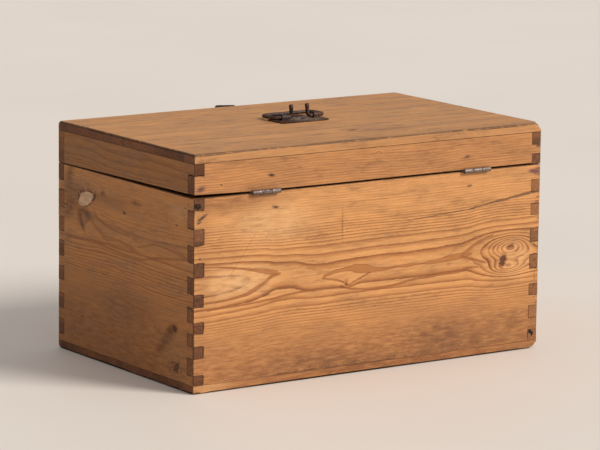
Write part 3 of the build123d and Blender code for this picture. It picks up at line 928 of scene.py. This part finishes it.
def uneven_cut(point):
    """Hand-cut joints: the corners of the fingers aren't quite level."""
    in_joint = abs(point.x) > HALF_X - WALL - NEAR and abs(point.y) > BACK - WALL - NEAR
    free = point.z < 14.0 * MM or abs(point.z - SEAM) < 12.0 * MM or point.z > HEIGHT - 14.0 * MM
    if free or not in_joint:
        return point
    return point + Vector((0.0, 0.0, 1.1 * MM * noise.noise(point * 75.0)))


def worn(point, seed):
    """A hand-planed surface is a little uneven."""
    shift = Vector((seed * 3.1, seed * 1.7, 0.0))
    return noise.noise(point * 9.0 + shift) * 0.16 * MM + noise.noise(point * 34.0 + shift) * 0.07 * MM


def bevelled(name, bm, radius_at):
    """Rounds every sharp edge by its own radius, and marks the rounded faces in attribute edge."""
    weights = bm.edges.layers.float.new("bevel_weight_edge")
    for edge in bm.edges:
        if len(edge.link_faces) == 2 and edge.calc_face_angle() > math.radians(30):
            middle = (edge.verts[0].co + edge.verts[1].co) / 2
            edge[weights] = min(1.0, radius_at(middle) / WORN_EDGE)
    mesh = bpy.data.meshes.new(name)
    bm.to_mesh(mesh)
    bm.free()
    blank = [bpy.data.materials.new(name + "_face"), bpy.data.materials.new(name + "_edge")]
    for material in blank:
        mesh.materials.append(material)
    shape = bpy.data.objects.new(name, mesh)
    bpy.context.scene.collection.objects.link(shape)
    bevel = shape.modifiers.new("worn edges", "BEVEL")
    bevel.limit_method = "WEIGHT"
    bevel.width = WORN_EDGE
    bevel.segments = 3
    bevel.use_clamp_overlap = False
    bevel.material = 1
    graph = bpy.context.evaluated_depsgraph_get()
    done = bpy.data.meshes.new_from_object(shape.evaluated_get(graph), depsgraph=graph)
    shape.modifiers.clear()
    shape.data = done
    bpy.data.meshes.remove(mesh)
    marks = [float(face.material_index == 1) for face in done.polygons for _ in face.loop_indices]
    done.attributes.new("edge", "FLOAT", "CORNER").data.foreach_set("value", marks)
    done.polygons.foreach_set("material_index", [0] * len(done.polygons))
    done.materials.clear()
    for material in blank:
        bpy.data.materials.remove(material)
    return shape


def press_in(shape, depth_at):
    """Presses every point in by depth_at(point) and evens out the shading."""
    mesh = shape.data
    normals = [vert.normal.copy() for vert in mesh.vertices]
    for vert, normal in zip(mesh.vertices, normals):
        vert.co -= normal * depth_at(vert.co)
    mesh.shade_smooth()
    shape.modifiers.new("even shading", "WEIGHTED_NORMAL").keep_sharp = True


def board_piece(node, along, seed):
    """A board with its notches, worn edges and knocked corners."""
    bm = board_grid(node, along)
    if node in ("lid_right_rim", "lid_left_rim", "lid_back_rim"):
        shape_lower_edge(bm, node)
    for vert in bm.verts:
        vert.co = uneven_cut(vert.co)
    shape = bevelled(node + "_wood", bm, edge_radius)
    press_in(shape, lambda point: 0.10 * MM + abs(worn(point, seed)))
    for vert in shape.data.vertices:
        vert.co = round_corner(vert.co)
    return shape


def own(shape, node):
    """The finished piece stands for its CAD node and moves with that node's body."""
    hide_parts(node)
    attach(shape, BODY_OF[node])


def make_boards():
    """Every board with its wood."""
    for index, (node, board) in enumerate(board_materials().items()):
        shape = board_piece(node, board["along"], index)
        shape.data.materials.append(pine(node + "_pine", board))
        own(shape, node)


# ---- Iron ----
RUST = (0.115, 0.042, 0.020)


def rubbed_at_plate(g, x, y):
    """The plate's middle, between the stop lugs, is rubbed bright."""
    axis = JOINT_PLACE["handle_lift"] / MM
    patch = g.hump(((x - axis.x + 9.0) / 22.0) ** 2.0 + ((y - axis.y - 4.0) / 17.0) ** 2.0)
    return patch * (g.cloud(x / 3.2, y / 9.0, 2.0, spread=0.12) * 0.75 + 0.30)


def iron(name, dark, light, worn_share, roughness, rubbed_at=None, shine=0.4):
    """Rusted wrought iron: scaled and pitted, with brighter metal where it is rubbed.

    rubbed_at(graph, x, y) gives the place that hands have rubbed most.
    """
    g = Graph(name)
    x, y, z = g.place()
    scale_patch = g.noise(x / 12.0, y / 6.0, z / 6.0, detail=4.0, roughness=0.6)
    pits = g.noise(x / 1.3, y / 1.3, z / 1.3, detail=3.0)
    rust = g.smooth(g.noise(x / 4.0 + 8.0, y / 4.0, z / 4.0, detail=4.0), 0.46, 0.62)
    rubbed = g.smooth(scale_patch, 1.0 - worn_share - 0.12, 1.0 - worn_share + 0.08)
    rubbed = rubbed + g.attribute("edge") * 0.35
    if rubbed_at is not None:
        rubbed = rubbed * 0.20 + rubbed_at(g, x, y) * 1.5
    rubbed = g.least(rubbed, 1.0)
    colour = g.mix(rust, dark, RUST)
    colour = g.mix(rubbed * 0.8, colour, light)
    colour = g.shade(colour, 0.50 + pits * 1.0)
    rough = roughness + rust * 0.18 - rubbed * 0.14
    metal = rubbed * 0.75 + 0.10
    height = scale_patch * 0.8 + pits * 0.5
    return g.finish(colour, rough, height, bump_mm=0.35, metallic=metal, specular=shine)


ALONG_X = Vector((1, 0, 0))
IRON_EDGE = 0.35 * MM
LEG_BEND = 1.2 * MM
TURN_STEPS = 32
BAR_STEPS = 16
NAIL_STEPS = 14
BORE_GAP = 0.06 * MM
KNUCKLE_GAP = 0.4 * MM
HINGE_SEAM_TURN = 150.0
HASP_SEAM_TURN = 60.0


def skin(bm, rings):
    """A closed solid through rings of points; every ring has the same number of points."""
    loops = [[bm.verts.new(point) for point in ring] for ring in rings]
    count = len(loops[0])
    for first, second in zip(loops, loops[1:]):
        for k in range(count):
            after = (k + 1) % count
            bm.faces.new([first[k], first[after], second[after], second[k]])
    bm.faces.new(loops[0])
    bm.faces.new(loops[-1])


def sweep(bm, path, section, across=None):
    """Sweeps section(k), a list of (across, up) pairs, along a path of points.

    across: the direction of the section's width; without it the section turns with the path.
    """
    tangent = (path[1] - path[0]).normalized()
    side = across or tangent.orthogonal().normalized()
    last = len(path) - 1
    rings = []
    for k, point in enumerate(path):
        ahead = (path[min(k + 1, last)] - path[max(k - 1, 0)]).normalized()
        if across is None:
            side = tangent.rotation_difference(ahead) @ side
        tangent = ahead
        up = tangent.cross(side)
        rings.append([point + side * a + up * b for a, b in section(k)])
    skin(bm, rings)


def rounded_path(corners, radii, step):
    """Points along a path whose corners are rounded, no more than step apart."""
    points = [corners[0]]
    for before, corner, after, radius in zip(corners, corners[1:], corners[2:], radii):
        back_arm, ahead_arm = (before - corner).normalized(), (after - corner).normalized()
        half = back_arm.angle(ahead_arm) / 2
        cut = radius / math.tan(half)
        centre = corner + (back_arm + ahead_arm).normalized() * radius / math.sin(half)
        start, stop = corner + back_arm * cut - centre, corner + ahead_arm * cut - centre
        turn = math.pi - 2 * half
        axis = start.cross(stop)
        count = max(4, math.ceil(turn * radius / step))
        points += [centre + Matrix.Rotation(turn * k / count, 3, axis) @ start for k in range(count + 1)]
    points.append(corners[-1])
    path = [points[0]]
    for a, b in zip(points, points[1:]):
        count = max(1, math.ceil((b - a).length / step))
        path += [a.lerp(b, k / count) for k in range(1, count + 1)]
    return path


def bar(bm, path, radius, uneven=0.07, flare=None):
    """A round bar, a little uneven from the forge, with rounded ends; flare(point) scales it."""
    travelled = [0.0]
    for a, b in zip(path, path[1:]):
        travelled.append(travelled[-1] + (b - a).length)

    def section(k):
        from_end = min(travelled[k], travelled[-1] - travelled[k])
        short = max(0.0, 1.0 - (from_end + 0.15 * radius) / (0.5 * radius))
        swell = flare(path[k]) if flare else 1.0
        ring = []
        for step in range(BAR_STEPS):
            angle = 2 * math.pi * step / BAR_STEPS
            a, b = math.cos(angle), math.sin(angle)
            lump = 0.5 + 0.5 * noise.noise(Vector((travelled[k] * 160.0, a * 0.9, b * 0.9)))
            size = radius * swell * (1.0 - uneven * lump) * math.sqrt(1.0 - short * short)
            ring.append((size * a, size * b))
        return ring

    sweep(bm, path, section)


def flat_section(width, thick, ridges=0):
    """A flat bar's outline with soft edges; ridges run along its upper face."""
    soft = 0.3 * thick
    count = max(6, ridges * 8)
    places = [-width / 2 + soft + (width - 2 * soft) * k / count for k in range(count + 1)]
    lower = [(a, -thick / 2) for a in places]
    upper = []
    for a in reversed(places):
        dip = abs(math.sin(math.pi * ridges * (a / width + 0.5))) if ridges else 1.0
        upper.append((a, thick / 2 * (0.35 + 0.65 * math.sqrt(1.0 - (1.0 - dip) ** 2))))
    return lower + [(width / 2, -thick / 2 + soft), (width / 2, thick / 5)] + upper + [
        (-width / 2, thick / 5), (-width / 2, -thick / 2 + soft)]


def barrel(bm, middle, width, radius, bore, seam_turn):
    """One rolled knuckle round a line along X, with the seam where the sheet meets itself."""
    half, soft = width / 2, 0.12 * radius
    profile = [(-half, bore), (-half, radius - soft), (-half + soft, radius)]
    profile += [(half * share, radius) for share in (-0.6, -0.3, 0.0, 0.3, 0.6)]
    profile += [(half - soft, radius), (half, radius - soft), (half, bore)]
    loops = []
    for x, size in profile:
        ring = []
        for step in range(TURN_STEPS):
            turn = 360.0 * step / TURN_STEPS
            off = (turn - seam_turn + 180.0) % 360.0 - 180.0
            groove = 0.14 * math.exp(-(off / 9.0) ** 2) if size > bore else 0.0
            angle = math.radians(turn)
            reach = size * (1 - groove)
            away = Vector((x, math.cos(angle) * reach, math.sin(angle) * reach))
            ring.append(bm.verts.new(middle + away))
        loops.append(ring)
    for first, second in zip(loops, loops[1:] + loops[:1]):
        for k in range(TURN_STEPS):
            after = (k + 1) % TURN_STEPS
            bm.faces.new([first[k], first[after], second[after], second[k]])


def straight(start, stop, count):
    """Points of a straight path in count equal steps."""
    return [start.lerp(stop, k / count) for k in range(count + 1)]


def beaten(point):
    """How deep the hammer went in, from 0 to about 1."""
    return abs(noise.noise(point * 140.0)) + 0.5 * abs(noise.noise(point * 420.0))


def iron_piece(node, bm, material, uneven=0.10 * MM, sharp=False):
    """Finishes an iron piece: soft edges, beaten surface, material, and its place in the frame."""
    bmesh.ops.recalc_face_normals(bm, faces=bm.faces)
    shape = bevelled(node + "_iron", bm, lambda point: IRON_EDGE if sharp else 0.0)
    press_in(shape, lambda point: uneven * beaten(point))
    shape.data.materials.append(material)
    own(shape, node)


def knuckle_places(low_x, high_x, outer):
    """(middles of one side's knuckles, their width) in a barrel of three."""
    pitch = (high_x - low_x) / 3
    middle = (low_x + high_x) / 2
    return ([middle - pitch, middle + pitch] if outer else [middle]), pitch - KNUCKLE_GAP


def hinge_leaf(side_name, upper, material):
    """A leaf that crosses the board's edge from its knuckles and turns along the inner face."""
    name = ("hinge_upper_leaf_" if upper else "hinge_lower_leaf_") + side_name
    low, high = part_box(name)
    axis = JOINT_PLACE["lid_hinge"]
    radius = high.y - axis.y
    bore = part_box("hinge_pin_" + side_name)[1].y - axis.y + BORE_GAP
    inner_face = BACK - WALL
    thick = inner_face - low.y
    side = 1 if upper else -1
    edge_z = (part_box("lid_back_rim")[0].z if upper else SEAM) - side * thick / 2
    flange_z = high.z if upper else low.z
    middle_x = (low.x + high.x) / 2
    bm = bmesh.new()
    flange_y = inner_face - thick / 2
    corners = [Vector((middle_x, flange_y, flange_z)), Vector((middle_x, flange_y, edge_z)),
               Vector((middle_x, BACK - 0.3 * MM, edge_z))]
    outline = flat_section(high.x - low.x, thick)
    sweep(bm, rounded_path(corners, [LEG_BEND], 3.0 * MM), lambda k: outline, ALONG_X)
    middles, width = knuckle_places(low.x, high.x, outer=not upper)
    tab = flat_section(width, thick)
    for x in middles:
        inner, outer = Vector((x, BACK - 1.5 * MM, edge_z)), Vector((x, axis.y - bore - 0.3 * MM, edge_z))
        sweep(bm, straight(inner, outer, 3), lambda k: tab, ALONG_X)
        barrel(bm, Vector((x, axis.y, axis.z)), width, radius, bore, HINGE_SEAM_TURN * side)
    iron_piece(name, bm, material)


def pin(name, material):
    """A plain round pin along X."""
    low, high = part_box(name)
    middle = (low + high) / 2
    bm = bmesh.new()
    ends = Vector((low.x, middle.y, middle.z)), Vector((high.x, middle.y, middle.z))
    bar(bm, straight(*ends, 24), (high.z - low.z) / 2, uneven=0.02)
    iron_piece(name, bm, material, uneven=0.02 * MM)


LUG_HALF = 14.0 * MM
LUG_BEND = 4.5 * MM
GRIP_BEND = 10.0 * MM
LUG_LEAN = 1.6 * MM
LUG_FLARE = 0.22
GRIP_DROOP = 0.55 * MM


def handle_bail(material):
    """Lug, eye, round the grip and back: one forged bar whose grip rests low."""
    low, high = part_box("handle_bail")
    axis = JOINT_PLACE["handle_lift"]
    radius = high.y - axis.y
    wide, reach, tall = (high.x - low.x) / 2 - radius, axis.y - low.y - radius, high.z - axis.z
    corners = [Vector((LUG_HALF, 0, tall)), Vector((LUG_HALF, 0, 0)), Vector((wide, 0, 0)),
               Vector((wide, -reach, -GRIP_DROOP))]
    corners += [Vector((-x, y, z)) for x, y, z in reversed(corners)]
    radii = [LUG_BEND, GRIP_BEND, GRIP_BEND, GRIP_BEND, GRIP_BEND, LUG_BEND]
    path = [axis + point for point in rounded_path(corners, radii, 1.6 * MM)]
    for point in path:
        point.x += LUG_LEAN * max(0.0, (point.z - axis.z) / tall)

    def flare(point):
        return 1.0 + LUG_FLARE * max(0.0, (point.z - axis.z) / tall) ** 2

    bm = bmesh.new()
    bar(bm, path, radius, uneven=0.12, flare=flare)
    iron_piece("handle_bail", bm, material, uneven=0.14 * MM)


def handle_eye(side_name, material):
    """A ridged strap over the bar; its legs go through the lid and turn out below."""
    name = "handle_eye_" + side_name
    low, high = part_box(name)
    axis = JOINT_PLACE["handle_lift"]
    bar_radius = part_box("handle_bail")[1].y - axis.y
    outer = high.z - axis.z
    inner = bar_radius + BORE_GAP
    thick, line = outer - inner, (outer + inner) / 2
    x = (low.x + high.x) / 2
    foot_z = low.z + thick / 2
    leg_y = axis.y + line
    corners = [Vector((x, high.y, foot_z)), Vector((x, leg_y, foot_z)), Vector((x, leg_y, axis.z))]
    turns = [math.radians(turn) for turn in range(10, 180, 10)]
    arch = [Vector((x, axis.y + line * math.cos(turn), axis.z + line * math.sin(turn))) for turn in turns]
    down = [Vector((x, 2 * axis.y - point.y, point.z)) for point in reversed(corners)]
    leg, far_leg = (rounded_path(points, [LEG_BEND], 2.5 * MM) for points in (corners, down))
    path = leg + arch + far_leg
    outline = flat_section(high.x - low.x, thick, ridges=3)
    bm = bmesh.new()
    sweep(bm, path, lambda k: outline, ALONG_X)
    iron_piece(name, bm, material)


PLATE_LOBE_HALF = 28.0 * MM
PLATE_LOBE = 19.0 * MM
PLATE_HOLE = 5.5 * MM


def handle_plate(material):
    """An uneven plate: a worn hole in the middle, a lobe under the grip, one corner bent up a little."""
    low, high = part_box("handle_plate")
    axis = JOINT_PLACE["handle_lift"]
    hole = Vector((axis.x - 2.0 * MM, axis.y + 2.0 * MM, 0))
    step = 2.0 * MM
    middle_x, shoulder = (low.x + high.x) / 2, low.y + PLATE_LOBE
    cuts_x = [low.x, middle_x - PLATE_LOBE_HALF, middle_x + PLATE_LOBE_HALF, high.x]
    lines_x, lines_y = grid_lines(cuts_x, step), grid_lines([low.y, shoulder, high.y], step)

    def holds(x, y):
        under_grip = y < shoulder and abs(x - middle_x) > PLATE_LOBE_HALF
        return not under_grip and math.hypot(x - hole.x, y - hole.y) > PLATE_HOLE

    bm = grid_solid((X, Y, Z), lines_x, lines_y, (low.z, high.z), holds)
    for vert in bm.verts:
        flat = Vector((vert.co.x, vert.co.y, 0.0))
        nibble = 1.3 * MM * abs(noise.noise(flat * 130.0))
        share_x = (vert.co.x - middle_x) / (high.x - middle_x)
        share_y = (vert.co.y - shoulder) / (high.y - shoulder)
        corner = max(0.0, abs(share_x) + abs(2.0 * share_y - 1.0) - 1.86) * 9.0 * MM
        vert.co.x -= math.copysign((nibble + corner) * min(1.0, abs(share_x)) ** 12, share_x)
        if share_y > 0.5:
            vert.co.y -= (nibble + corner) * share_y ** 6
        vert.co.z += 1.5 * MM * max(0.0, -share_x - 0.4) ** 2 * max(0.0, share_y - 0.1)
        away = flat - Vector((hole.x, hole.y, 0.0))
        if away.length < PLATE_HOLE + step:
            ring = away.normalized() * PLATE_HOLE * (1.0 + 0.15 * noise.noise(away * 300.0))
            inner = away.length < PLATE_HOLE + 0.75 * step
            vert.co.x, vert.co.y = (hole + ring if inner else hole + away)[:2]
    iron_piece("handle_plate", bm, material, uneven=0.22 * MM, sharp=True)


HASP_THICK = 1.5 * MM
HASP_ROOT = 1.45 * MM
SLOT_HALF = 3.5 * MM
SLOT_LOW = 27.0 * MM
SLOT_HIGH = 50.0 * MM
TIP_ROUND = 4.0 * MM
TIP_TILT = 1.1 * MM


def hasp_part(name, face_y, outer, slotted, material):
    """A plate with its knuckles at the foot: the fixed leaf with the outer two, or the slotted arm."""
    low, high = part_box(name)
    axis = JOINT_PLACE["hasp_swing"]
    radius = axis.z - low.z
    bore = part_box("hasp_pin")[1].z - axis.z + BORE_GAP
    half = (high.x - low.x) / 2
    middles, width = knuckle_places(low.x, high.x, outer)
    clear = half / 3 + (KNUCKLE_GAP if outer else -KNUCKLE_GAP) / 2
    root = axis.z + radius + KNUCKLE_GAP
    cuts_x = [low.x, axis.x - clear, axis.x + clear, high.x]
    cuts_z = [axis.z + HASP_ROOT, root, high.z]
    if slotted:
        cuts_x += [axis.x - SLOT_HALF, axis.x + SLOT_HALF]
        cuts_z += [axis.z + SLOT_LOW, axis.z + SLOT_HIGH]
    lines_x, lines_z = grid_lines(cuts_x, 2.5 * MM), grid_lines(cuts_z, 2.5 * MM)

    def holds(x, z):
        off, rise = abs(x - axis.x), z - axis.z
        if rise < root - axis.z:
            return (off < clear) != outer
        return not (slotted and off < SLOT_HALF and SLOT_LOW < rise < SLOT_HIGH)

    bm = grid_solid((X, Z, Y), lines_x, lines_z, (face_y, face_y + HASP_THICK), holds)
    for vert in bm.verts:
        off, rise = vert.co.x - axis.x, vert.co.z - axis.z
        tip_x, tip_z = half - TIP_ROUND, high.z - axis.z - TIP_ROUND
        arm = Vector((abs(off) - tip_x, rise - tip_z))
        if arm.x > 0 and arm.y > 0 and arm.length > TIP_ROUND:
            arm = arm.normalized() * TIP_ROUND
            vert.co.x = axis.x + math.copysign(tip_x + arm.x, off)
            vert.co.z = axis.z + tip_z + arm.y
        if slotted:
            vert.co.z += TIP_TILT * off / half * (rise / (high.z - axis.z)) ** 4
    for x in middles:
        barrel(bm, Vector((x, axis.y, axis.z)), width, radius, bore, HASP_SEAM_TURN)
    iron_piece(name, bm, material, sharp=True)


def hasp_staple(material):
    """A round wire bent into a U, its two ends driven into the front."""
    low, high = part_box("hasp_staple")
    radius = (high.x - low.x) / 2
    x, out, driven = low.x + radius, low.y + radius, high.y
    top, bottom = high.z - radius, low.z + radius
    bend = (top - bottom) / 2 - 0.5 * MM
    corners = [Vector((x, y, z)) for y, z in ((driven, top), (out, top), (out, bottom), (driven, bottom))]
    bm = bmesh.new()
    bar(bm, rounded_path(corners, [bend, bend], 1.0 * MM), radius)
    iron_piece("hasp_staple", bm, material, uneven=0.08 * MM)


def islands(node):
    """The points of every separate solid in a CAD node."""
    bm = bmesh.new()
    bm.from_mesh(frame["nodes"][node].data)
    bmesh.ops.remove_doubles(bm, verts=bm.verts, dist=0.001 * MM)
    seen = set()
    groups = []
    for first in bm.verts:
        if first in seen:
            continue
        seen.add(first)
        group = [first]
        for vert in group:
            for edge in vert.link_edges:
                other = edge.other_vert(vert)
                if other not in seen:
                    seen.add(other)
                    group.append(other)
        groups.append([vert.co.copy() for vert in group])
    bm.free()
    return groups


def nail(bm, points):
    """A nail in the place of a CAD one: hammered head, straight shank, drawn point."""
    low = Vector([min(point[k] for point in points) for k in range(3)])
    high = Vector([max(point[k] for point in points) for k in range(3)])
    spans, middle = high - low, (low + high) / 2
    along = max(range(3), key=lambda k: spans[k])
    wide, tall = [k for k in range(3) if k != along]

    def off_line(point):
        return math.hypot(point[wide] - middle[wide], point[tall] - middle[tall])

    head_radius = max(off_line(point) for point in points)
    head_points = [point[along] for point in points if off_line(point) > 0.95 * head_radius]
    head_low = min(head_points) < middle[along]
    head_end = low[along] if head_low else high[along]
    inward = 1.0 if head_low else -1.0
    thick = max(abs(place - head_end) for place in head_points)
    beyond = [point for point in points if abs(point[along] - head_end) > 2 * thick]
    shank = max(off_line(point) for point in beyond)
    length = spans[along]
    profile = [(0.10 * thick, 0.35), (0.22 * thick, 0.75), (0.60 * thick, 0.97), (0.98 * thick, 0.94)]
    profile = [(depth, share * head_radius) for depth, share in profile]
    profile += [(thick, shank), (length * 0.5, shank), (length - 3 * shank, shank), (length, 0.25 * shank)]
    rings = []
    for depth, size in profile:
        ring = []
        for step in range(NAIL_STEPS):
            angle = 2 * math.pi * step / NAIL_STEPS
            place = middle.copy()
            place[along] = head_end + inward * depth
            a, b = math.cos(angle), math.sin(angle)
            bent = 1.0 - 0.16 * abs(noise.noise(Vector((a, b, 0)) + middle * 300.0))
            place[wide] += size * bent * a
            place[tall] += size * bent * b
            ring.append(place)
        rings.append(ring)
    skin(bm, rings)


def make_iron():
    """The hinges, the handle, the hasp and all the nails."""
    dark_iron = iron(
        "dark_iron", dark=(0.026, 0.012, 0.009), light=(0.220, 0.150, 0.115), worn_share=0.30,
        roughness=0.46)
    plate_iron = iron(
        "plate_iron", dark=(0.030, 0.016, 0.012), light=(0.330, 0.255, 0.200), worn_share=0.30,
        roughness=0.74, rubbed_at=rubbed_at_plate, shine=0.10)
    hinge_iron = iron(
        "hinge_iron", dark=(0.052, 0.036, 0.032), light=(0.270, 0.220, 0.198), worn_share=0.52,
        roughness=0.62)
    hasp_iron = iron(
        "hasp_iron", dark=(0.018, 0.014, 0.013), light=(0.110, 0.090, 0.080), worn_share=0.30,
        roughness=0.55)
    nail_iron = iron(
        "nail_iron", dark=(0.050, 0.030, 0.024), light=(0.150, 0.110, 0.090), worn_share=0.34,
        roughness=0.6)
    for side_name in ("right", "left"):
        hinge_leaf(side_name, True, hinge_iron)
        hinge_leaf(side_name, False, hinge_iron)
        pin("hinge_pin_" + side_name, hinge_iron)
        handle_eye(side_name, dark_iron)
    handle_bail(dark_iron)
    handle_plate(plate_iron)
    arm_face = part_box("hasp_arm")[0].y + 0.2 * MM
    hasp_part("hasp_leaf", FRONT - HASP_THICK, outer=True, slotted=False, material=hasp_iron)
    hasp_part("hasp_arm", arm_face, outer=False, slotted=True, material=hasp_iron)
    pin("hasp_pin", hasp_iron)
    hasp_staple(hasp_iron)
    for node in sorted(frame["nodes"]):
        if node.endswith("nails"):
            bm = bmesh.new()
            for points in islands(node):
                nail(bm, points)
            iron_piece(node, bm, nail_iron, uneven=0.04 * MM)


# ---- Stage, light and camera ----
def make_stage():
    """A pale floor."""
    bpy.ops.mesh.primitive_circle_add(vertices=96, radius=14.0, fill_type="NGON", location=(0, 0, 0))
    floor = bpy.context.object
    floor.name = "floor"
    g = Graph("pale_floor")
    x, y, _ = g.place()
    cloud = g.noise(x / 700.0, y / 700.0, 1.0, detail=2.0)
    colour = g.shade((0.810, 0.745, 0.690), 0.95 + cloud * 0.1)
    floor.data.materials.append(g.finish(colour, 0.6, cloud, bump_mm=0.0))


def sun(name, direction, strength, spread, colour):
    """Light from far away. A wide spread gives soft shadows."""
    data = bpy.data.lights.new(name, "SUN")
    data.energy = strength
    data.angle = math.radians(spread)
    data.color = colour
    lamp = bpy.data.objects.new(name, data)
    bpy.context.scene.collection.objects.link(lamp)
    lamp.rotation_mode = "QUATERNION"
    lamp.rotation_quaternion = (-Vector(direction)).to_track_quat("-Z", "Y")


def make_light():
    """A low warm sun from the photo's right, and an even white sky."""
    sun("key", (-0.47, 0.68, 0.57), 2.75, 24.0, (1.0, 0.95, 0.88))
    world = bpy.data.worlds.new("studio")
    world.use_nodes = True
    sky = world.node_tree.nodes["Background"]
    sky.inputs[0].default_value = (1.0, 0.985, 0.965, 1.0)
    sky.inputs[1].default_value = 0.46
    bpy.context.scene.world = world


def make_camera():
    """The photo's own view: a long lens, a little above the lid."""
    azimuth, elevation, roll = math.radians(145.56), math.radians(10.21), math.radians(0.69)
    distance, focal_share = 5.086, 5.807
    aim = Vector((-0.002, -0.002, 0.182))
    level = math.cos(elevation)
    back = Vector((math.sin(azimuth) * level, -math.cos(azimuth) * level, math.sin(elevation)))
    data = bpy.data.cameras.new("camera")
    data.sensor_width = 36.0
    data.lens = focal_share * data.sensor_width
    camera = bpy.data.objects.new("camera", data)
    bpy.context.scene.collection.objects.link(camera)
    camera.location = aim + back * distance
    turn = Matrix.Rotation(roll, 4, back) @ (-back).to_track_quat("-Z", "Y").to_matrix().to_4x4()
    camera.rotation_mode = "QUATERNION"
    camera.rotation_quaternion = turn.to_quaternion()
    bpy.context.scene.camera = camera
    bpy.context.scene.view_settings.view_transform = "Standard"


make_boards()
make_iron()
make_stage()
make_light()
make_camera()
